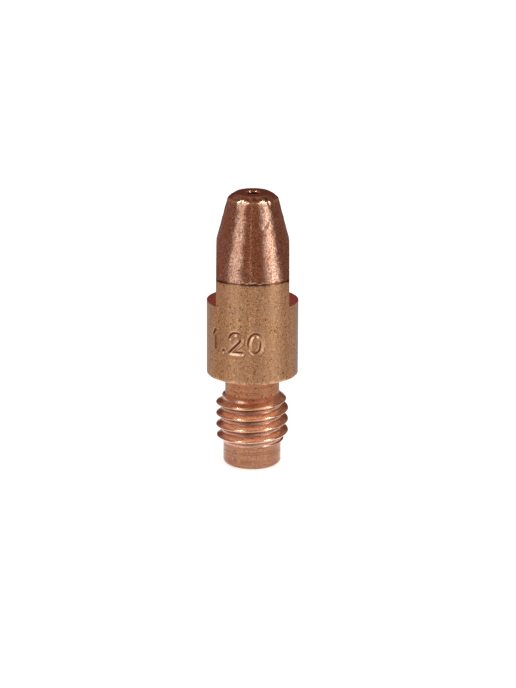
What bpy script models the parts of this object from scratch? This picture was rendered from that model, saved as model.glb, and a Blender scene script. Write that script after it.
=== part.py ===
"""Contact tip of a welding torch: one turned, threaded and milled copper piece.

The tip stands on its foot. The origin is the centre of the foot face, +Z runs along
the axis to the nose, and the two wrench flats face +X and -X. Lengths are in metres.
"""
import math

import bmesh
import bpy
from mathutils import Matrix

MM = 0.001

# Lengths along the axis, from the foot face upwards
TOTAL_LENGTH = 30.0 * MM
PILOT_LENGTH = 2.42 * MM
THREAD_LENGTH = 5.53 * MM
NECK_LENGTH = 2.15 * MM
CYLINDER_LENGTH = 10.95 * MM
FLAT_START = 8.15 * MM

# Widths of the body and the nose
BODY_DIAMETER = 9.8 * MM
ACROSS_FLATS = 7.75 * MM
NOSE_FACE_DIAMETER = 3.72 * MM
NOSE_CHAMFER_WIDTH = 0.84 * MM
NOSE_CHAMFER_HEIGHT = 0.62 * MM
BODY_EDGE_CHAMFER = 0.15 * MM

# Thread M8 x 1.25, right-hand, measured over its worn-in crests
THREAD_DIAMETER = 7.8 * MM
THREAD_PITCH = 1.25 * MM
THREAD_FLANK_ANGLE = math.radians(30.0)
NECK_UNDERCUT = 0.3 * MM
PILOT_UNDERCUT = 0.12 * MM
THREAD_END_BEVEL = 0.85 * MM

# The wire's way through the tip
BORE_DIAMETER = 1.4 * MM
FUNNEL_LENGTH = 4.2 * MM
FOOT_RIM_WIDTH = 0.5 * MM
FOOT_CHAMFER = 0.3 * MM
NOSE_COUNTERSINK = 0.18 * MM

SEGMENTS = 64
CUTTER_MARGIN = 1.0 * MM

# Heights that follow from the lengths
thread_bottom = PILOT_LENGTH
thread_top = thread_bottom + THREAD_LENGTH
body_bottom = thread_top + NECK_LENGTH
cone_bottom = body_bottom + CYLINDER_LENGTH
flat_bottom = body_bottom + FLAT_START
cone_top = TOTAL_LENGTH - NOSE_CHAMFER_HEIGHT

# Thread form: a 60 degree groove with a flat root a quarter pitch wide and a crest an
# eighth of a pitch wide, so its depth follows from the pitch
root_width = THREAD_PITCH / 4
crest_width = THREAD_PITCH / 8
thread_depth = (THREAD_PITCH - root_width - crest_width) / 2 / math.tan(THREAD_FLANK_ANGLE)

# Radii
body_radius = BODY_DIAMETER / 2
crest_radius = THREAD_DIAMETER / 2
root_radius = crest_radius - thread_depth
neck_radius = root_radius - NECK_UNDERCUT
pilot_radius = root_radius - PILOT_UNDERCUT
nose_face_radius = NOSE_FACE_DIAMETER / 2
cone_top_radius = nose_face_radius + NOSE_CHAMFER_WIDTH
bore_radius = BORE_DIAMETER / 2
foot_radius = pilot_radius - FOOT_CHAMFER
mouth_radius = foot_radius - FOOT_RIM_WIDTH


def clear_scene():
    for old in list(bpy.data.objects):
        bpy.data.objects.remove(old, do_unlink=True)


def new_collection(name):
    collection = bpy.data.collections.new(name)
    bpy.context.scene.collection.children.link(collection)
    return collection


def object_from_bmesh(name, bm, collection):
    mesh = bpy.data.meshes.new(name)
    bm.to_mesh(mesh)
    bm.free()
    made = bpy.data.objects.new(name, mesh)
    collection.objects.link(made)
    return made


def loop_from_points(bm, points):
    """Closed loop of edges through (radius, height) points, in the plane of X and Z."""
    verts = [bm.verts.new((radius, 0.0, height)) for radius, height in points]
    edges = [bm.edges.new((a, b)) for a, b in zip(verts, verts[1:] + verts[:1])]
    return verts, edges


def turned(name, points, collection):
    """Solid of revolution about Z, from a closed profile."""
    bm = bmesh.new()
    loop_from_points(bm, points)
    made = object_from_bmesh(name, bm, collection)
    screw = made.modifiers.new("Turning", "SCREW")
    screw.axis = "Z"
    screw.angle = math.tau
    screw.steps = SEGMENTS
    screw.render_steps = SEGMENTS
    screw.use_merge_vertices = True
    screw.merge_threshold = 0.000001
    return made


def thread_cutter(collection):
    """Helical bar that leaves the thread standing between its turns.

    It starts half a pitch under the thread, climbs as a right-hand screw and ends in
    the air round the neck. Its sides are straight outside the crests, so that one turn
    doesn't run into the next.
    """
    half_root = root_width / 2
    reach = thread_depth + 0.05 * THREAD_PITCH
    half_mouth = half_root + reach * math.tan(THREAD_FLANK_ANGLE)
    inner = root_radius
    knee = root_radius + reach
    outer = knee + THREAD_PITCH / 4
    start = thread_bottom - THREAD_PITCH / 2
    end = thread_top + half_mouth + 0.1 * THREAD_PITCH
    steps = math.ceil((end - start) / THREAD_PITCH * SEGMENTS)
    step_angle = math.tau / SEGMENTS

    bm = bmesh.new()
    verts, edges = loop_from_points(bm, [
        (inner, start + half_root),
        (knee, start + half_mouth),
        (outer, start + half_mouth),
        (outer, start - half_mouth),
        (knee, start - half_mouth),
        (inner, start - half_root),
    ])
    bmesh.ops.spin(
        bm,
        geom=verts + edges,
        cent=(0.0, 0.0, 0.0),
        axis=(0.0, 0.0, 1.0),
        dvec=(0.0, 0.0, THREAD_PITCH / SEGMENTS),
        angle=step_angle * steps,
        steps=steps,
        use_duplicate=False,
    )
    bmesh.ops.holes_fill(bm, edges=bm.edges[:], sides=len(verts))
    # The facets start half a step on, so that none of them lies on a facet of the blank
    bmesh.ops.rotate(
        bm,
        verts=bm.verts[:],
        cent=(0.0, 0.0, 0.0),
        matrix=Matrix.Rotation(step_angle / 2, 3, "Z"),
    )
    bmesh.ops.translate(bm, verts=bm.verts[:], vec=(0.0, 0.0, THREAD_PITCH / SEGMENTS / 2))
    bmesh.ops.recalc_face_normals(bm, faces=bm.faces[:])
    return object_from_bmesh("thread_cutter", bm, collection)


def flats_cutter(collection):
    """Two boxes, one on each side, that mill the wrench flats up to past the nose."""
    depth = body_radius - ACROSS_FLATS / 2 + CUTTER_MARGIN
    height = TOTAL_LENGTH - flat_bottom + CUTTER_MARGIN
    bm = bmesh.new()
    for side in (1, -1):
        box = bmesh.ops.create_cube(bm, size=1.0)["verts"]
        bmesh.ops.scale(bm, verts=box, vec=(depth, BODY_DIAMETER + 2 * CUTTER_MARGIN, height))
        across = side * (ACROSS_FLATS + depth) / 2
        bmesh.ops.translate(bm, verts=box, vec=(across, 0.0, flat_bottom + height / 2))
    return object_from_bmesh("flats_cutter", bm, collection)


def cut(target, cutter):
    cutter.hide_render = True
    cutter.display_type = "WIRE"
    boolean = target.modifiers.new(cutter.name, "BOOLEAN")
    boolean.operation = "DIFFERENCE"
    boolean.solver = "EXACT"
    boolean.object = cutter


def apply_modifiers(made):
    """Keep the finished shape as the object's own mesh, shaded smooth between edges."""
    graph = bpy.context.evaluated_depsgraph_get()
    graph.update()
    finished = bpy.data.meshes.new_from_object(made.evaluated_get(graph))
    made.modifiers.clear()
    made.data = finished
    finished.shade_smooth()
    finished.set_sharp_from_angle(angle=math.radians(25.0))


def copper():
    material = bpy.data.materials.new("turned_copper")
    material.use_nodes = True
    shader = material.node_tree.nodes["Principled BSDF"]
    shader.inputs["Base Color"].default_value = (0.62, 0.32, 0.18, 1.0)
    shader.inputs["Metallic"].default_value = 1.0
    shader.inputs["Roughness"].default_value = 0.32
    return material


clear_scene()
parts = new_collection("welding_contact_tip")
cutters = new_collection("cutters")

# The outside runs down from the nose to the foot, and the wire's way runs back up
tip_profile = [
    (nose_face_radius, TOTAL_LENGTH),
    (cone_top_radius, cone_top),
    (body_radius, cone_bottom),
    (body_radius, body_bottom + BODY_EDGE_CHAMFER),
    (body_radius - BODY_EDGE_CHAMFER, body_bottom),
    (neck_radius, body_bottom),
    (neck_radius, thread_top),
    (crest_radius, thread_top - THREAD_END_BEVEL),
    (crest_radius, thread_bottom + crest_radius - pilot_radius),
    (pilot_radius, thread_bottom),
    (pilot_radius, FOOT_CHAMFER),
    (foot_radius, 0.0),
    (mouth_radius, 0.0),
    (bore_radius, FUNNEL_LENGTH),
    (bore_radius, TOTAL_LENGTH - NOSE_COUNTERSINK),
    (bore_radius + NOSE_COUNTERSINK, TOTAL_LENGTH),
]

tip = turned("contact_tip", tip_profile, parts)
cut(tip, thread_cutter(cutters))
cut(tip, flats_cutter(cutters))
apply_modifiers(tip)
tip.data.materials.clear()
tip.data.materials.append(copper())
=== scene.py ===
import math

import bmesh
import bpy
import numpy as np
from mathutils import Matrix, Vector


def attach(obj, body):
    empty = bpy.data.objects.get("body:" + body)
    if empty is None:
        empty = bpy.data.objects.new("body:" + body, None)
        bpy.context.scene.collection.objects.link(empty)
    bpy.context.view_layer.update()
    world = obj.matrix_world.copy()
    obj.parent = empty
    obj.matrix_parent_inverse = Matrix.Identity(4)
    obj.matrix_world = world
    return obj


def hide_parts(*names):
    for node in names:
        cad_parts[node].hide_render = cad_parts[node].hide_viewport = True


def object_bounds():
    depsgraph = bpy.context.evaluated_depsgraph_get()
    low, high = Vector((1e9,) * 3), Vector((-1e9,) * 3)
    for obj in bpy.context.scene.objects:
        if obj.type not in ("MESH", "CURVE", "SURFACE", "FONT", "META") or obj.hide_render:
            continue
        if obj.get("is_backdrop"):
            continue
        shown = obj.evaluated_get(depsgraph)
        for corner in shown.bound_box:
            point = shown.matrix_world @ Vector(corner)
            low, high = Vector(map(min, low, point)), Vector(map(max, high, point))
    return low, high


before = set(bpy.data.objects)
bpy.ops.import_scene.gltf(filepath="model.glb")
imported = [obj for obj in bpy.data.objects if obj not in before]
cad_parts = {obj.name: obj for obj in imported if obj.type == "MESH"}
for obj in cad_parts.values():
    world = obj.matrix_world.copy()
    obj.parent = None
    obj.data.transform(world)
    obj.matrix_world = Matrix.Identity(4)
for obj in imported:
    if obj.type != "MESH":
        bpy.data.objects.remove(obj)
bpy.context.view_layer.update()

# --- Camera ------------------------------------------------------------------
# A long lens, a little above the tip and looking slightly down on it, so that the
# round end of the nose and the tops of the two wrench flats just show.
MM = 0.001
IMAGE_HEIGHT = 688
PIXELS_PER_MM = 9.335
SENSOR = 36.0
CAMERA_DISTANCE = 300 * MM
CAMERA_ELEVATION = math.radians(16.2)
CAMERA_ROLL = math.radians(0.28)
AIM_RIGHT, AIM_DOWN = 0.60 * MM, 1.67 * MM

middle = Vector((0.0, 0.0, 15 * MM))
towards_camera = Vector((0.0, -math.cos(CAMERA_ELEVATION), math.sin(CAMERA_ELEVATION)))
camera_right = Vector((1.0, 0.0, 0.0))
camera_up = towards_camera.cross(camera_right)
camera_place = middle + towards_camera * CAMERA_DISTANCE
aim = middle + camera_right * AIM_RIGHT - camera_up * AIM_DOWN

camera = bpy.data.objects.new("camera", bpy.data.cameras.new("camera"))
bpy.context.scene.collection.objects.link(camera)
bpy.context.scene.camera = camera
camera.data.sensor_width = SENSOR
camera.data.lens = PIXELS_PER_MM * CAMERA_DISTANCE / MM * SENSOR / IMAGE_HEIGHT
camera.data.clip_start, camera.data.clip_end = 0.01, 20.0
looking = (aim - camera_place).to_track_quat("-Z", "Y").to_matrix().to_4x4()
camera.matrix_world = (
    Matrix.Translation(camera_place) @ looking @ Matrix.Rotation(CAMERA_ROLL, 4, "Z")
)

# --- Nose and cone -----------------------------------------------------------
# The tip is turned from a round copper bar. At the nose it has a flat face with the
# wire's bore, a steep chamfer and a blunt cone, which ends in a ragged groove where the
# turning stops and the bar's own skin begins.
LENGTH = 30.0 * MM
BODY_RADIUS = 4.9 * MM
BORE_RADIUS = 0.7 * MM
COUNTERSINK = 0.18 * MM
NOSE_FACE_RADIUS = 1.86 * MM
CONE_TOP_RADIUS = 2.70 * MM
CONE_BOTTOM, CONE_TOP = 21.05 * MM, 29.38 * MM
FLAT_BOTTOM = 18.25 * MM

# Columns stand closer together where the number is stamped than round the rest
STAMP_FROM, STAMP_TO = math.radians(208), math.radians(281)
columns = np.unique(np.concatenate([
    np.linspace(0, STAMP_FROM, 105),
    np.linspace(STAMP_FROM, STAMP_TO, 106),
    np.linspace(STAMP_TO, math.tau, 41),
]))


def rounded_profile(corners):
    """Points along a profile whose corners are eased.

    Each corner is (radius, height, easing, step). Within the easing on each side of a
    corner the line is a parabola, which starts along one side and ends along the
    other. The step is the greatest one on the straight towards the next corner.
    """
    places = np.array([corner[:2] for corner in corners])
    easings = np.array([corner[2] for corner in corners])
    sides = np.diff(places, axis=0)
    sides /= np.linalg.norm(sides, axis=1)[:, None]
    points = [places[:1]]
    for i in range(len(sides)):
        leave = places[i] + sides[i] * easings[i]
        arrive = places[i + 1] - sides[i] * easings[i + 1]
        steps = max(1, math.ceil(np.linalg.norm(arrive - leave) / corners[i][3] - 1e-6))
        points.append(leave + (arrive - leave) * np.linspace(0, 1, steps + 1)[1:, None])
        if easings[i + 1] > 0:
            t = np.linspace(0, 1, 5)[1:, None]
            gone = places[i + 1] + sides[i + 1] * easings[i + 1]
            points.append((1 - t) ** 2 * arrive + 2 * t * (1 - t) * places[i + 1] + t**2 * gone)
    return np.concatenate(points)


def turned_rows(corners):
    """The radius and height of a turned skin's points: its profile, repeated at each column."""
    profile = rounded_profile(corners)
    return np.repeat(profile[:, :1], len(columns), 1), np.repeat(profile[:, 1:], len(columns), 1)


def wander(slowest, quickest, seed):
    """A wavy value at each column, mostly within 1 of zero: sines of whole numbers of waves."""
    waves = np.arange(slowest, quickest + 1)
    starts = np.random.default_rng(seed).uniform(0, math.tau, len(waves))
    total = np.sin(np.multiply.outer(waves, columns) + starts[:, None]).sum(0)
    return total[None, :] / math.sqrt(len(waves))


def bell(distance, width):
    """1 at no distance, falling to a third at one width and to nothing at three."""
    return np.exp(-((distance / width) ** 2))


def distance_to(across, up, line):
    """How far each point is from a line of straight pieces: the least of its distances."""
    least = np.full(across.shape, np.inf)
    for (x0, y0), (x1, y1) in zip(line[:-1], line[1:]):
        dx, dy = x1 - x0, y1 - y0
        along = np.clip(((across - x0) * dx + (up - y0) * dy) / (dx * dx + dy * dy), 0, 1)
        least = np.minimum(least, np.hypot(across - x0 - along * dx, up - y0 - along * dy))
    return least


def dimples(height, around, size, seed):
    """Shallow random waves over a turned skin, mostly within 1 of zero.

    They are sines that run in random directions, each with a whole number of waves
    round the tip. Around is the radius there, and size is the length of the shortest.
    """
    count = 40
    random = np.random.default_rng(seed)
    direction, start = random.uniform(0, math.tau, (2, count))
    rate = random.uniform(0.5, 1.0, count) * math.tau / size
    round_it = np.round(rate * np.cos(direction) * around)[:, None, None]
    along_it = (rate * np.sin(direction))[:, None, None]
    waves = round_it * columns[None, None, :] + along_it * height[None] + start[:, None, None]
    return np.sin(waves).sum(0) / math.sqrt(count / 2)


nose_radius, nose_height = turned_rows([
    (BORE_RADIUS, LENGTH - COUNTERSINK, 0, 0.1 * MM),
    (BORE_RADIUS + COUNTERSINK, LENGTH, 0.03 * MM, 0.12 * MM),
    (NOSE_FACE_RADIUS, LENGTH, 0.05 * MM, 0.06 * MM),
    (CONE_TOP_RADIUS - 0.39 * MM, CONE_TOP + 0.35 * MM, 0.15 * MM, 0.06 * MM),
    (CONE_TOP_RADIUS, CONE_TOP, 0.08 * MM, 0.2 * MM),
    (CONE_TOP_RADIUS + 0.46 * MM, CONE_TOP - 1.74 * MM, 0, 0.09 * MM),
    (CONE_TOP_RADIUS + 0.76 * MM, CONE_TOP - 2.88 * MM, 0, 0.2 * MM),
    (BODY_RADIUS - 0.13 * MM, CONE_BOTTOM + 0.5 * MM, 0, 0.05 * MM),
    (BODY_RADIUS, CONE_BOTTOM, 0.02 * MM, 0.05 * MM),
    (BODY_RADIUS, CONE_BOTTOM - 0.25 * MM, 0, 0.3 * MM),
    (BODY_RADIUS, FLAT_BOTTOM, 0, 0.3 * MM),
])
in_face = (nose_height[:, 0] > LENGTH - 0.01 * MM) & (nose_radius[:, 0] < NOSE_FACE_RADIUS)
on_bar = nose_height[:, 0] < CONE_BOTTOM + 0.01 * MM
chamfer_away = np.abs(nose_height - 0.5 * (LENGTH + CONE_TOP))

# The chamfer was finished by hand, so its lower edge wanders and has a small nick
EDGE_WAVE_UP, EDGE_WAVE_OUT = 0.025 * MM, 0.008 * MM
NICK_TURN, NICK_DEPTH = math.radians(307), 0.09 * MM
edge_away = np.hypot(nose_radius - CONE_TOP_RADIUS, nose_height - CONE_TOP)
nose_height += EDGE_WAVE_UP * wander(3, 23, 5) * bell(edge_away, 0.18 * MM)
nose_radius += EDGE_WAVE_OUT * wander(9, 40, 6) * bell(edge_away, 0.12 * MM)
nick_away = np.hypot(edge_away, CONE_TOP_RADIUS * (columns[None, :] - NICK_TURN))
nose_radius -= NICK_DEPTH * bell(nick_away, 0.16 * MM)

# Tumbling left the cone softly uneven and the chamfer hammered, and a hard corner
# scored the cone once. The middles are the cone's and the chamfer's mean radii.
CONE_MIDDLE, CHAMFER_MIDDLE = 3.8 * MM, 2.3 * MM
CONE_DENTS, CHAMFER_DENTS = 0.005 * MM, 0.010 * MM
SCRATCH_TURN, SCRATCH_HEIGHT = math.radians(297), 27.07 * MM
SCRATCH_RADIUS, SCRATCH_DEPTH = 3.3 * MM, 0.04 * MM
on_cone = (nose_height < CONE_TOP) & ~on_bar[:, None]
on_chamfer = bell(chamfer_away, 0.25 * MM) * (nose_radius > NOSE_FACE_RADIUS)
nose_radius += CONE_DENTS * dimples(nose_height, CONE_MIDDLE, 0.9 * MM, 10) * on_cone
nose_radius += CHAMFER_DENTS * dimples(nose_height, CHAMFER_MIDDLE, 0.34 * MM, 11) * on_chamfer
scratch_line = np.array([(-0.30, -0.24), (0.04, 0.0), (0.26, 0.27)]) * MM
scratch_across = SCRATCH_RADIUS * (columns[None, :] - SCRATCH_TURN) + 0 * nose_height
scratch = bell(distance_to(scratch_across, nose_height - SCRATCH_HEIGHT, scratch_line), 0.10 * MM)
nose_radius -= SCRATCH_DEPTH * scratch

# The tool left a ragged groove where the cone meets the bar's skin, darkened as painted shade
GROOVE_DEPTH = 0.03 * MM
line_height = CONE_BOTTOM + 0.07 * MM + 0.02 * MM * wander(4, 30, 7)
line_width = 0.13 * MM * (1 + 0.4 * wander(3, 45, 8)).clip(0.5, 1.9)
cone_line = bell(nose_height - line_height, line_width) * (nose_radius > BODY_RADIUS - 1 * MM)
nose_radius -= GROOVE_DEPTH * cone_line
# Painted shade darkens the groove and the scratch, and the chamfer is darkened in patches
chamfer_soot = (0.2 + 0.3 * dimples(nose_height, CHAMFER_MIDDLE, 0.5 * MM, 12)).clip(0, 1)
nose_grime = 0.95 * cone_line + 0.9 * scratch + chamfer_soot * bell(chamfer_away, 0.18 * MM)

# A painted highlight lightens the chamfer's edge, and a painted reflection runs as a fine broken
# line down the front
SEAM_TURN, SEAM_WIDTH = math.radians(266.6), 0.06 * MM
nose_rubbed = bell(edge_away - 0.03 * MM, 0.09 * MM) * (0.8 + 0.4 * wander(5, 30, 9))
seam_away = nose_radius * (columns[None, :] - SEAM_TURN)
seam_kept = np.sin(nose_height / (0.13 * MM)) + np.sin(nose_height / (0.51 * MM))
nose_rubbed += (0.4 + 0.15 * seam_kept).clip(0, 1) * bell(seam_away, SEAM_WIDTH) * on_cone

# --- Bar and stamped number --------------------------------------------------
# Under the cone the bar keeps its drawn skin. The wire's size is stamped into it with a
# hardened die, so each stroke is a shallow groove with a low burr along both its sides.
# The number is a plain one.
SHOULDER, SHOULDER_EDGE = 10.1 * MM, 0.15 * MM
STAMP_LOW, STAMP_HIGH = 13.20 * MM, 16.02 * MM
STROKE = 0.12 * MM
STAMP_DEPTH = 0.10 * MM
BURR = 0.035 * MM
DIGIT_HEIGHT = 2.15 * MM
BASELINE = 13.55 * MM
FRONT = math.radians(270)

bar_radius, bar_height = turned_rows([
    (BODY_RADIUS, FLAT_BOTTOM - 0.005 * MM, 0, 0.3 * MM),
    (BODY_RADIUS, STAMP_HIGH, 0, 0.06 * MM),
    (BODY_RADIUS, STAMP_LOW, 0, 0.3 * MM),
    (BODY_RADIUS, SHOULDER + SHOULDER_EDGE, 0, 0.1 * MM),
])


def arc(across, up, wide, high, start, end):
    """Points on part of an ellipse, by its centre, half width, half height and angles."""
    turn = np.radians(np.linspace(start, end, 25))
    return np.stack([across + wide * np.cos(turn), up + high * np.sin(turn)], 1)


# Each digit's lines in its own box, one high, with the angle from the front of its middle
stamped = [
    (-52, np.array([(-0.14, 0.76), (0.0, 0.98), (0.0, 0.0)])),
    (-38, np.array([(0.0, 0.0), (0.0, 0.03)])),
    (-21, np.concatenate([arc(0, 0.70, 0.29, 0.28, 165, -35), [(-0.30, 0.0), (0.32, 0.0)]])),
    (4, arc(0, 0.49, 0.31, 0.49, 0, 360)),
]
stamp_away = np.full(bar_radius.shape, np.inf)
for angle, line in stamped:
    across = BODY_RADIUS * (columns[None, :] - FRONT - math.radians(angle)) + 0 * bar_height
    away = distance_to(across, bar_height - BASELINE, line * DIGIT_HEIGHT)
    stamp_away = np.minimum(stamp_away, away)
bar_radius = bar_radius + BURR * bell(stamp_away - 2.2 * STROKE, 0.7 * STROKE)
bar_radius = bar_radius - STAMP_DEPTH * bell(stamp_away, 1.2 * STROKE)

# Painted shade darkens the walls that face down and right, a painted highlight lightens the
# others as if lit from the upper left, and the painted reflection line goes on as flecks
rising = np.gradient(bar_radius, axis=0) / np.gradient(bar_height, axis=0)
turning = np.gradient(bar_radius, axis=1) / np.gradient(BODY_RADIUS * columns)
leaning = 0.85 * rising - 0.5 * turning
bar_grime = (2.6 * leaning).clip(0, 0.9)
bar_rubbed = (-3.2 * leaning).clip(0, 1)
flecks = sum(np.sin(bar_height / wave) for wave in (0.11 * MM, 0.047 * MM, 0.43 * MM))
fleck_away = BODY_RADIUS * (columns[None, :] - SEAM_TURN)
bar_rubbed += (0.5 * flecks).clip(0, 0.8) * bell(fleck_away, SEAM_WIDTH)

# --- Shoulder, neck and thread -----------------------------------------------
# Under the bar's skin the tip is turned down: a shoulder, a thin neck and an M8 thread,
# right-hand, with a pitch of 1.25 mm. The thread's rows run along the helix, so that
# its crests and roots are smooth lines.
NECK_RADIUS = 2.9234 * MM
PILOT_RADIUS = 3.1034 * MM
PITCH = 1.25 * MM
CREST_RADIUS = 3.9 * MM
ROOT_RADIUS = 3.2234 * MM
THREAD_LOW, THREAD_HIGH = 2.42 * MM, 7.95 * MM
FLANK_ANGLE = math.radians(30)
END_BEVEL = 0.85 * MM
# The groove gets shallower from this turn on, so fast that it would fill in so many more
DRAWN_FROM, DRAWN_OVER = 4.56, 1.5
ROWS_PER_TURN = 22

neck_radius, neck_height = turned_rows([
    (BODY_RADIUS, SHOULDER + SHOULDER_EDGE, 0, 0.04 * MM),
    (BODY_RADIUS - SHOULDER_EDGE, SHOULDER, 0.09 * MM, 0.2 * MM),
    (NECK_RADIUS, SHOULDER, 0.12 * MM, 0.2 * MM),
    (NECK_RADIUS, THREAD_HIGH, 0, 0.2 * MM),
])
# Painted shade darkens the inside corner under the shoulder, and a painted highlight lightens the
# shoulder's lower edge
neck_corner_away = np.hypot(neck_radius - NECK_RADIUS, neck_height - SHOULDER)
shoulder_away = neck_radius - BODY_RADIUS + 0.4 * SHOULDER_EDGE
neck_grime = 0.5 * bell(neck_corner_away, 0.15 * MM)
neck_rubbed = (1.0 + 0.3 * wander(3, 40, 13)) * bell(shoulder_away, 0.12 * MM)


def lesser(a, b, ease):
    """The lesser of two values, eased by a parabola where they differ by less than ease."""
    near = np.clip(ease - np.abs(a - b), 0, None) / ease
    return np.minimum(a, b) - near**2 * ease / 4


def from_groove(turn, height):
    """How far a point lies above the middle of the nearest groove, in pitches, and how many
    turns that groove has made there: a helix is a straight line in turn and height."""
    climbed = (height - THREAD_LOW) / PITCH + 0.5 - turn / math.tau
    return climbed - np.round(climbed), np.round(climbed) + turn / math.tau


def thread_radius(turn, height):
    """Radius of the thread's skin.

    The distance from the groove's middle gives a flat root a quarter of a pitch wide,
    flanks at 30 degrees and a crest an eighth of a pitch wide. The tool is drawn out
    slowly at the top, so the groove gets shallower there. A 45 degree lead-in and a
    bevel at the top cut the crests down.
    """
    above, turns_made = from_groove(turn, height)
    aside = np.abs(above) * PITCH
    flank = ROOT_RADIUS + (aside - PITCH / 8) / math.tan(FLANK_ANGLE)
    form = -lesser(-flank, -ROOT_RADIUS, 0.14 * MM)
    form = lesser(form, CREST_RADIUS, 0.12 * MM)
    drawn_out = ((turns_made - DRAWN_FROM) / DRAWN_OVER).clip(0, 1)
    form += drawn_out * (CREST_RADIUS - form)
    lead_in = PILOT_RADIUS + (height - THREAD_LOW)
    bevel = NECK_RADIUS + (THREAD_HIGH - height) * (CREST_RADIUS - NECK_RADIUS) / END_BEVEL
    form = lesser(form, lead_in, 0.05 * MM)
    return lesser(form, bevel, 0.25 * MM)


row_step = PITCH / ROWS_PER_TURN
thread_rows = math.ceil((THREAD_HIGH - THREAD_LOW + PITCH) / row_step) + 1
down = THREAD_HIGH - row_step * np.arange(thread_rows)[:, None]
thread_height = np.clip(down + PITCH * columns[None, :] / math.tau, THREAD_LOW, THREAD_HIGH)
# A point that nearly reaches the thread's end is put on it, so that no sliver is left
for end in (THREAD_LOW, THREAD_HIGH):
    thread_height = np.where(np.abs(thread_height - end) < 0.4 * row_step, end, thread_height)
thread_skin = thread_radius(columns[None, :], thread_height)

# Painted shade darkens the roots, most of it at the front, except at the thread's two ends
above_root, _ = from_groove(columns[None, :], thread_height)
room_above = THREAD_HIGH - 0.6 * MM - thread_height
room_below = thread_height - THREAD_LOW
grooved = (room_above / (0.4 * MM)).clip(0, 1) * (room_below / (0.5 * MM)).clip(0, 1)
front_away = columns[None, :] - FRONT + math.radians(8)
root_soot = 0.4 + 0.5 * bell(front_away, math.radians(24))
thread_grime = root_soot * bell(above_root - 0.03, 0.17) * grooved

# A painted highlight lightens the crest along both its edges and a little way down the upper
# flank, and lightens the whole of the top turn's crest
under_crest = above_root % 1.0
bevel_away = THREAD_HIGH - 0.95 * MM - thread_height
thread_rubbed = 1.2 * bell(under_crest - 0.60, 0.07) + 1.0 * bell(under_crest - 0.46, 0.05)
thread_rubbed += 0.5 * bell(under_crest - 0.74, 0.10)
thread_rubbed += 1.0 * bell(bevel_away, 0.35 * MM) * (thread_skin > 3.45 * MM)
thread_rubbed *= (thread_skin > ROOT_RADIUS + 0.1 * MM) * (0.8 + 0.3 * wander(3, 40, 14))

# --- Foot, funnel and bore ---------------------------------------------------
# The foot is a narrow flat ring round a reamed funnel, which leads the wire into the
# bore. The bore runs right through to the nose. All of it is cut in the same copper.
FOOT_RADIUS, MOUTH_RADIUS = 2.8034 * MM, 2.3034 * MM
FOOT_CHAMFER = 0.3 * MM
FUNNEL_TOP = 4.2 * MM
TOOL_STOPS = (0.72 * MM, 1.72 * MM)

foot_radius, foot_height = turned_rows([
    (PILOT_RADIUS, THREAD_LOW, 0, 0.11 * MM),
    (PILOT_RADIUS, FOOT_CHAMFER, 0.10 * MM, 0.1 * MM),
    (FOOT_RADIUS, 0.0, 0.08 * MM, 0.1 * MM),
    (MOUTH_RADIUS, 0.0, 0.06 * MM, 0.2 * MM),
    (BORE_RADIUS, FUNNEL_TOP, 0.3 * MM, 1.5 * MM),
    (BORE_RADIUS, LENGTH - COUNTERSINK, 0, 1.5 * MM),
])
# The tool stopped twice on its way along the pilot and left a faint line each time
for stop in TOOL_STOPS:
    foot_radius -= 0.02 * MM * bell(foot_height - stop, 0.08 * MM) * (foot_radius > FOOT_RADIUS)
# The pilot is darkened a little all over, and more along the upper tool line
foot_grime = 0.12 + 0.35 * bell(foot_height - TOOL_STOPS[1], 0.07 * MM)
foot_grime *= foot_radius > FOOT_RADIUS
# A painted highlight lightens the foot's outer lip
foot_rubbed = 0.6 * bell(np.hypot(foot_radius - FOOT_RADIUS, foot_height), 0.08 * MM)

# --- Copper piece ------------------------------------------------------------
# Nose, bar, thread, foot and bore are one piece of copper, so they're joined into one
# closed skin. The two wrench flats are then milled off it.
FLAT = 3.875 * MM
BAR_SKIN, TURNED, NECKED, THREADED, MILLED, LEDGE, REAMED, PARTED = range(8)

radius = np.concatenate([nose_radius, bar_radius, neck_radius, thread_skin, foot_radius])
height = np.concatenate([nose_height, bar_height, neck_height, thread_height, foot_height])
# The painted shade and other darkening, and the painted highlights, are kept on the points
grime = np.concatenate([nose_grime, bar_grime, neck_grime, thread_grime, foot_grime])
rubbed = np.concatenate([nose_rubbed, bar_rubbed, neck_rubbed, thread_rubbed, foot_rubbed])
in_funnel = foot_radius[:, 0] < MOUTH_RADIUS + 0.01 * MM
finish_of_row = np.concatenate([
    np.where(on_bar, BAR_SKIN, np.where(in_face, PARTED, TURNED)),
    np.full(len(bar_radius), BAR_SKIN),
    np.full(len(neck_radius), NECKED),
    np.full(len(thread_skin), THREADED),
    np.where(in_funnel, REAMED, NECKED),
])
points = np.stack([radius * np.cos(columns), radius * np.sin(columns), height], -1)
rows_n, columns_n = radius.shape
ids = np.arange(rows_n * columns_n).reshape(rows_n, columns_n)
quads = np.stack([ids[:-1, :-1], ids[1:, :-1], ids[1:, 1:], ids[:-1, 1:]], -1).reshape(-1, 4)
finish = np.repeat(finish_of_row[:-1], columns_n - 1).astype(np.int32)

mesh = bpy.data.meshes.new("copper_tip")
mesh.from_pydata(points.reshape(-1, 3).tolist(), [], quads.tolist())
mesh.polygons.foreach_set("material_index", finish)
for attribute, values in (("grime", grime), ("rubbed", rubbed)):
    mesh.attributes.new(attribute, "FLOAT", "POINT").data.foreach_set(
        "value", values.clip(0, 1).ravel().astype(np.float32)
    )

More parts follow.
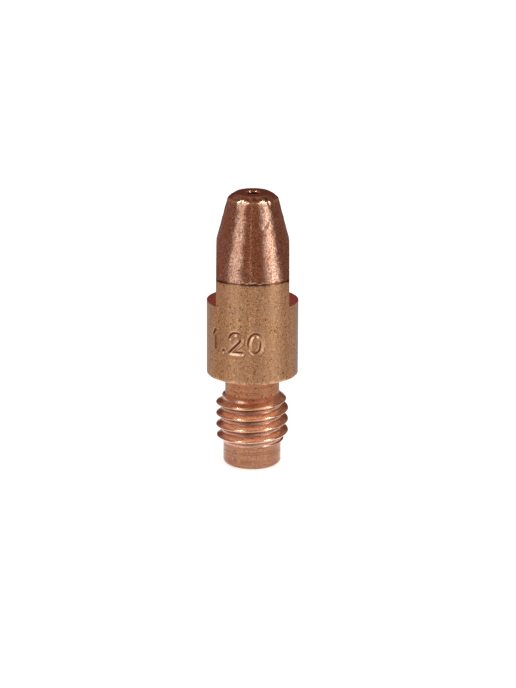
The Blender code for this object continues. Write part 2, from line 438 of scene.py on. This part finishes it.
# The skin is closed at its seam, and cut along the planes of the flats
above = FLAT_BOTTOM - 0.002 * MM
bm = bmesh.new()
bm.from_mesh(mesh)
bmesh.ops.remove_doubles(bm, verts=bm.verts[:], dist=1e-6)
for side in (1, -1):
    cut = [f for f in bm.faces if all(v.co.z > above for v in f.verts)]
    edges = list({e for f in cut for e in f.edges})
    verts = list({v for f in cut for v in f.verts})
    bmesh.ops.bisect_plane(
        bm, geom=verts + edges + cut, dist=1e-7,
        plane_co=(side * FLAT, 0, 0), plane_no=(side, 0, 0),
    )
bmesh.ops.recalc_face_normals(bm, faces=bm.faces[:])
bm.to_mesh(mesh)
bm.free()


def read(layer, field, size=1, kind=np.float32):
    """One field of every item in a mesh layer, as one array with size values to an item."""
    values = np.empty(len(layer) * size, kind)
    layer.foreach_get(field, values)
    return values.reshape(-1, size) if size > 1 else values


def all_corners(fitting):
    """Which faces have only corners that are fitting: true where none of theirs is false."""
    corners = read(mesh.loops, "vertex_index", kind=np.int32)
    starts = read(mesh.polygons, "loop_start", kind=np.int32)
    return np.logical_and.reduceat(fitting[corners], starts)


# What stands outside those planes is moved in to them, and is bare fresh metal there, without
# painted shade or painted highlights
place = read(mesh.vertices, "co", 3)
milled_off = (place[:, 2] > above) & (np.abs(place[:, 0]) > FLAT + 1e-7)
place[milled_off, 0] = np.sign(place[milled_off, 0]) * FLAT
mesh.vertices.foreach_set("co", place.ravel())
for attribute in ("grime", "rubbed"):
    values = read(mesh.attributes[attribute].data, "value")
    values[milled_off] = 0.0
    mesh.attributes[attribute].data.foreach_set("value", values)
mesh.update()

in_plane = np.abs(np.abs(place[:, 0]) - FLAT) < 1e-7
on_flat = all_corners(in_plane & (place[:, 2] > above))
faces_up = read(mesh.polygons, "normal", 3)[:, 2] > 0.9
on_ledge = faces_up & all_corners(np.abs(place[:, 2] - FLAT_BOTTOM) < 0.01 * MM)
finish = read(mesh.polygons, "material_index", kind=np.int32)
finish[on_ledge] = LEDGE
finish[on_flat] = MILLED
mesh.polygons.foreach_set("material_index", finish)
mesh.shade_smooth()
mesh.set_sharp_from_angle(angle=math.radians(25))

tip = bpy.data.objects.new("copper_tip", mesh)
bpy.context.scene.collection.objects.link(tip)


def from_hex(code):
    """The colour that an sRGB hex value stands for, in linear light."""
    shown = np.array([int(code[i:i + 2], 16) for i in (0, 2, 4)]) / 255
    linear = np.where(shown <= 0.04045, shown / 12.92, ((shown + 0.055) / 1.055) ** 2.4)
    return (*linear.tolist(), 1.0)


def add(tree, kind, settings, links=()):
    """Adds a node to a material, with its settings by name or socket number, and its links.

    A Mix node takes its factor at socket 0. Its values are sockets 2 and 3, and its
    colours are sockets 6 and 7, with the mixed colour at output 2.
    """
    node = tree.nodes.new(kind)
    for key, value in settings.items():
        if key in node.inputs.keys() or isinstance(key, int):
            node.inputs[key].default_value = value
        else:
            setattr(node, key, value)
    for key, output in dict(links).items():
        tree.links.new(output, node.inputs[key])
    return node


# Pits and patches of tarnish on a handled copper part are about this wide
PIT, PATCH = 0.22 * MM, 1.6 * MM
# Colours of the painted highlights and bright flecks, and of the painted shade, darkening and pits
RUBBED_COLOUR, SOOT_COLOUR = from_hex("ecc2a2"), from_hex("502a1c")
RUBBED_ROUGHNESS = 0.2


def copper(name, light, deep, dull, roughness, grain, streaks, lined, relief, brushed=0.0):
    """Copper whose colour goes from light to deep in grains, with a duller cast in patches.

    Grain is the size of a grain, streaks is the size of the tool's or the drawing die's
    lines, across the axis and along it, and relief is the height of both, all in metres.
    Real grains are 0.01 to 0.05 mm wide and a tool's marks 0.05 to 0.1 mm apart, too fine
    to show, so both are drawn as coarse as they need to be.
    Lined is the lines' share of the change in colour, and brushed is how much wider the
    gloss spreads along the tip than round it.
    """
    material = bpy.data.materials.new(name)
    material.use_nodes = True
    tree = material.node_tree
    shader = tree.nodes["Principled BSDF"]
    shader.inputs["Metallic"].default_value = 1.0
    place = add(tree, "ShaderNodeTexCoord", {}).outputs["Object"]

    # Grains, darker pits among them, broad patches of tarnish, and the tool's lines
    grains = add(
        tree, "ShaderNodeTexNoise", {"Scale": 1 / grain, "Detail": 3, "Roughness": 0.65},
        {"Vector": place}).outputs["Fac"]
    pits = add(
        tree, "ShaderNodeTexNoise", {"Scale": 1 / PIT, "Detail": 2, "Roughness": 0.5},
        {"Vector": place}).outputs["Fac"]
    patches = add(
        tree, "ShaderNodeTexNoise", {"Scale": 1 / PATCH, "Detail": 3, "Roughness": 0.6},
        {"Vector": place}).outputs["Fac"]
    line_place = add(
        tree, "ShaderNodeMapping",
        {"Scale": (1 / streaks[0], 1 / streaks[0], 1 / streaks[1])}, {"Vector": place})
    lines = add(
        tree, "ShaderNodeTexNoise", {"Scale": 1.0, "Detail": 3, "Roughness": 0.6},
        {"Vector": line_place.outputs["Vector"]}).outputs["Fac"]

    speckle = add(tree, "ShaderNodeMix", {0: lined}, {2: grains, 3: lines}).outputs[0]
    speckle_amount = add(
        tree, "ShaderNodeMapRange", {"From Min": 0.40, "From Max": 0.62}, {"Value": speckle})
    patch_amount = add(
        tree, "ShaderNodeMapRange", {"From Min": 0.42, "From Max": 0.68, "To Max": 0.7},
        {"Value": patches})
    colour = add(
        tree, "ShaderNodeMix", {"data_type": "RGBA", 6: from_hex(light), 7: from_hex(deep)},
        {0: speckle_amount.outputs["Result"]})
    colour = add(
        tree, "ShaderNodeMix", {"data_type": "RGBA", 7: from_hex(dull)},
        {0: patch_amount.outputs["Result"], 6: colour.outputs[2]})

    # Painted highlights and small flecks are bright, and pits, painted shade and other darkening
    # are dark
    rubbed = add(tree, "ShaderNodeAttribute", {"attribute_name": "rubbed"}).outputs["Fac"]
    soot = add(tree, "ShaderNodeAttribute", {"attribute_name": "grime"}).outputs["Fac"]
    fleck_amount = add(
        tree, "ShaderNodeMapRange", {"From Min": 0.36, "From Max": 0.26, "To Max": 0.7},
        {"Value": pits})
    pit_amount = add(
        tree, "ShaderNodeMapRange", {"From Min": 0.60, "From Max": 0.72, "To Max": 0.8},
        {"Value": pits})
    bright = add(
        tree, "ShaderNodeMath", {"operation": "MAXIMUM"},
        {0: rubbed, 1: fleck_amount.outputs["Result"]})
    dark = add(
        tree, "ShaderNodeMath", {"operation": "MAXIMUM"},
        {0: soot, 1: pit_amount.outputs["Result"]})
    colour = add(
        tree, "ShaderNodeMix", {"data_type": "RGBA", 7: RUBBED_COLOUR},
        {0: bright.outputs["Value"], 6: colour.outputs[2]})
    colour = add(
        tree, "ShaderNodeMix", {"data_type": "RGBA", 7: SOOT_COLOUR},
        {0: dark.outputs["Value"], 6: colour.outputs[2]})
    tree.links.new(colour.outputs[2], shader.inputs["Base Color"])

    # The gloss changes from grain to grain, and is smoother under the painted highlights
    rough = add(
        tree, "ShaderNodeMapRange",
        {"From Min": 0.3, "From Max": 0.7, "To Min": roughness[0], "To Max": roughness[1]},
        {"Value": grains})
    rough = add(
        tree, "ShaderNodeMix", {3: RUBBED_ROUGHNESS}, {0: rubbed, 2: rough.outputs["Result"]})
    tree.links.new(rough.outputs[0], shader.inputs["Roughness"])

    ups = add(tree, "ShaderNodeMath", {"operation": "ADD"}, {0: grains, 1: lines})
    ups = add(
        tree, "ShaderNodeMath", {"operation": "MULTIPLY_ADD", 1: 1.5},
        {0: patches, 2: ups.outputs["Value"]})
    bump = add(
        tree, "ShaderNodeBump", {"Strength": 1.0, "Distance": relief},
        {"Height": ups.outputs["Value"]})
    tree.links.new(bump.outputs["Normal"], shader.inputs["Normal"])
    if brushed:
        shader.inputs["Anisotropic"].default_value = brushed
        shader.inputs["Anisotropic Rotation"].default_value = 0.25
        round_it = add(tree, "ShaderNodeTangent", {"direction_type": "RADIAL", "axis": "Z"})
        tree.links.new(round_it.outputs["Tangent"], shader.inputs["Tangent"])
    return material


# Drawn bar skin: copper pulled through a die, pickled and left to tarnish. It is tan and
# satin, with fine lines along the bar and a sandy grain.
mesh.materials.append(copper(
    "drawn_bar_skin", light="ca9f7b", deep="8c664a", dull="ac8a70", roughness=(0.32, 0.46),
    grain=0.13 * MM, streaks=(0.25 * MM, 6 * MM), lined=0.2, relief=0.006 * MM, brushed=0.8))
# Turned copper: cut with a fine feed and tumbled. It mirrors its surroundings, broken up
# by grain, in pink and dark brown, with faint lines along the cone.
mesh.materials.append(copper(
    "turned_copper", light="deb29a", deep="865e4e", dull="b88268", roughness=(0.08, 0.2),
    grain=0.17 * MM, streaks=(0.14 * MM, 1.5 * MM), lined=0.3, relief=0.010 * MM))
# Turned-down copper: a heavier cut on the neck and pilot. Its feed marks run round the tip
# and spread the gloss along it.
mesh.materials.append(copper(
    "turned_down_copper", light="c48e6c", deep="8e5e44", dull="b0806a", roughness=(0.22, 0.36),
    grain=0.14 * MM, streaks=(6 * MM, 0.16 * MM), lined=0.6, relief=0.006 * MM, brushed=0.75))
# Threaded copper: fresh, pale metal cut by the threading tool, glossy on its flanks.
mesh.materials.append(copper(
    "threaded_copper", light="fad0ba", deep="cc9a88", dull="d8a893", roughness=(0.18, 0.32),
    grain=0.16 * MM, streaks=(6 * MM, 0.16 * MM), lined=0.4, relief=0.006 * MM, brushed=0.4))
# Milled copper: the flats, cut by a side mill whose teeth leave straight lines across the
# tip. It is tan and satin.
mesh.materials.append(copper(
    "milled_copper", light="d8ac86", deep="96704e", dull="b4906c", roughness=(0.22, 0.36),
    grain=0.18 * MM, streaks=(8 * MM, 0.26 * MM), lined=0.75, relief=0.02 * MM))
# Milled ledge: the end of the same cut, smeared by the mill's face. It is fresh pink metal.
mesh.materials.append(copper(
    "milled_ledge", light="fcc4b4", deep="e0988a", dull="eaa898", roughness=(0.2, 0.3),
    grain=0.18 * MM, streaks=(0.3 * MM, 6 * MM), lined=0.4, relief=0.004 * MM))
# Reamed copper: the funnel and bore, scraped smooth. It is glossy and deep orange.
mesh.materials.append(copper(
    "reamed_copper", light="d0906c", deep="b87450", dull="b87858", roughness=(0.18, 0.3),
    grain=0.2 * MM, streaks=(6 * MM, 0.2 * MM), lined=0.4, relief=0.002 * MM))
# Parted copper: the nose face, where the tip was cut off the bar. It is flat and satin.
mesh.materials.append(copper(
    "parted_copper", light="b08060", deep="8c6044", dull="a07452", roughness=(0.26, 0.38),
    grain=0.14 * MM, streaks=(6 * MM, 0.1 * MM), lined=0.0, relief=0.004 * MM))

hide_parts("contact_tip")
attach(tip, "root")

# --- Studio ------------------------------------------------------------------
# A white paper floor in white surroundings, lit by soft boxes, with coloured cards round
# the tip. The cards show only as reflections on the metal: they light nothing and stand
# in no one's way.
FLOOR_SIDE = 3.0
FLOOR_LIFT = 0.6


def seen_directly(tree):
    """1 where the camera sees a surface, straight on or in gloss or glass, and 0 for its light."""
    path = add(tree, "ShaderNodeLightPath", {})
    seen = add(
        tree, "ShaderNodeMath", {"operation": "ADD"},
        {0: path.outputs["Is Camera Ray"], 1: path.outputs["Is Glossy Ray"]})
    seen = add(
        tree, "ShaderNodeMath", {"operation": "ADD", "use_clamp": True},
        {0: seen.outputs[0], 1: path.outputs["Is Transmission Ray"]})
    return seen.outputs[0]


# The paper is a little brighter to the eye than the light it gets, so that it meets the
# white surroundings without an edge and still keeps the tip's shadow
floor_mesh = bpy.data.meshes.new("floor")
floor_mesh.from_pydata(
    [(x * FLOOR_SIDE, y * FLOOR_SIDE, 0) for x, y in ((-1, -1), (1, -1), (1, 1), (-1, 1))],
    [], [(0, 1, 2, 3)])
floor = bpy.data.objects.new("floor", floor_mesh)
bpy.context.scene.collection.objects.link(floor)
floor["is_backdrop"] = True
paper = bpy.data.materials.new("white_paper")
paper.use_nodes = True
tree = paper.node_tree
matt = tree.nodes["Principled BSDF"]
matt.inputs["Base Color"].default_value = (0.8, 0.8, 0.8, 1)
matt.inputs["Roughness"].default_value = 1.0
matt.inputs["Specular IOR Level"].default_value = 0.0
lift = add(
    tree, "ShaderNodeMath", {"operation": "MULTIPLY", 1: FLOOR_LIFT}, {0: seen_directly(tree)})
glow = add(tree, "ShaderNodeEmission", {"Color": (1, 1, 1, 1)}, {"Strength": lift.outputs[0]})
total = add(tree, "ShaderNodeAddShader", {}, {0: matt.outputs[0], 1: glow.outputs[0]})
tree.links.new(total.outputs[0], tree.nodes["Material Output"].inputs["Surface"])
floor_mesh.materials.append(paper)


def compass(azimuth, elevation):
    """Unit vector towards an azimuth, from the camera's side to the right, and an elevation."""
    a, e = math.radians(azimuth), math.radians(elevation)
    return Vector((math.sin(a) * math.cos(e), -math.cos(a) * math.cos(e), math.sin(e)))


# Each lamp's azimuth and elevation in degrees, distance, width and height in metres, and
# the brightness of its face
for name, azimuth, elevation, away, width, tall, level in (
    ("left_softbox", -48, 26, 0.5, 0.20, 0.5, 0.35),
    ("right_softbox", 58, 26, 0.5, 0.16, 0.5, 1.3),
    ("strip", -7, 20, 0.12, 0.001, 0.12, 2.5),
    ("left_spark", -78, 61, 0.2, 0.02, 0.02, 30.0),
    ("right_spark", 78, 61, 0.2, 0.02, 0.02, 30.0),
    ("back_left_softbox", -130, 50, 0.6, 0.3, 0.3, 0.8),
    ("back_right_softbox", 130, 50, 0.6, 0.3, 0.3, 0.8),
):
    lamp = bpy.data.lights.new(name, "AREA")
    lamp.shape = "RECTANGLE"
    lamp.size, lamp.size_y = width, tall
    lamp.energy = level * math.pi * width * tall
    light = bpy.data.objects.new(name, lamp)
    bpy.context.scene.collection.objects.link(light)
    light.location = middle + compass(azimuth, elevation) * away
    light.rotation_euler = compass(azimuth, elevation).to_track_quat("Z", "Y").to_euler()
    light.visible_camera = False

# Each card is a band from one azimuth to another, in degrees, and from one height to
# another, in metres. Reach is how far out its top edge stands, as a part of its bottom edge.
CARD_AWAY = 0.14
CARD_STEPS = 32
for name, colour, start, end, low, high, reach in (
    ("front_card", "a07c69", -31, 34, 0.03, 0.3, 1.0),
    ("right_card", "907468", 75, 150, 0.001, 0.3, 1.0),
    ("back_right_card", "74483f", 150, 168, 0.001, 0.3, 1.0),
    ("back_card", "7c4842", 168, 192, 0.001, 0.3, 1.0),
    ("back_left_card", "74483f", 192, 210, 0.001, 0.3, 1.0),
    ("left_card", "a08076", 210, 294, 0.001, 0.3, 1.0),
    ("top_card", "a88a7a", 0, 360, 0.3, 0.301, 0.0),
    ("floor_card", "ffeedc", -126, 126, 0.0005, 0.0006, 0.09),
    ("back_floor_card", "d8d2ce", 126, 234, 0.0005, 0.0006, 0.09),
    ("left_hood", "fff0e4", -100, -28, 0.17, 0.26, 0.9),
    ("right_hood", "fff0e4", 10, 100, 0.17, 0.26, 0.9),
):
    turn = np.radians(np.linspace(start, end, CARD_STEPS + 1))
    ring = np.stack([np.sin(turn), -np.cos(turn)], 1) * CARD_AWAY
    corners = [(x, y, low) for x, y in ring] + [(x * reach, y * reach, high) for x, y in ring]
    bands = [(i, i + 1, i + CARD_STEPS + 2, i + CARD_STEPS + 1) for i in range(CARD_STEPS)]
    card_mesh = bpy.data.meshes.new(name)
    card_mesh.from_pydata(corners, [], bands)
    board = bpy.data.materials.new(name)
    board.use_nodes = True
    glow = add(board.node_tree, "ShaderNodeEmission", {"Color": from_hex(colour)})
    surface = board.node_tree.nodes["Material Output"].inputs["Surface"]
    board.node_tree.links.new(glow.outputs[0], surface)
    card_mesh.materials.append(board)
    card = bpy.data.objects.new(name, card_mesh)
    bpy.context.scene.collection.objects.link(card)
    card.visible_camera = False
    card.visible_shadow = False
    card.visible_diffuse = False
    card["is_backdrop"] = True

# The surroundings look white and give half as much light
world = bpy.data.worlds.new("studio")
bpy.context.scene.world = world
world.use_nodes = True
tree = world.node_tree
tint = add(
    tree, "ShaderNodeMix", {"data_type": "RGBA", 6: (0.5, 0.5, 0.5, 1), 7: (1, 1, 1, 1)},
    {0: seen_directly(tree)})
tree.links.new(tint.outputs[2], tree.nodes["Background"].inputs["Color"])

bpy.context.scene.view_settings.view_transform = "Standard"

bpy.context.view_layer.update()
low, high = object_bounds()
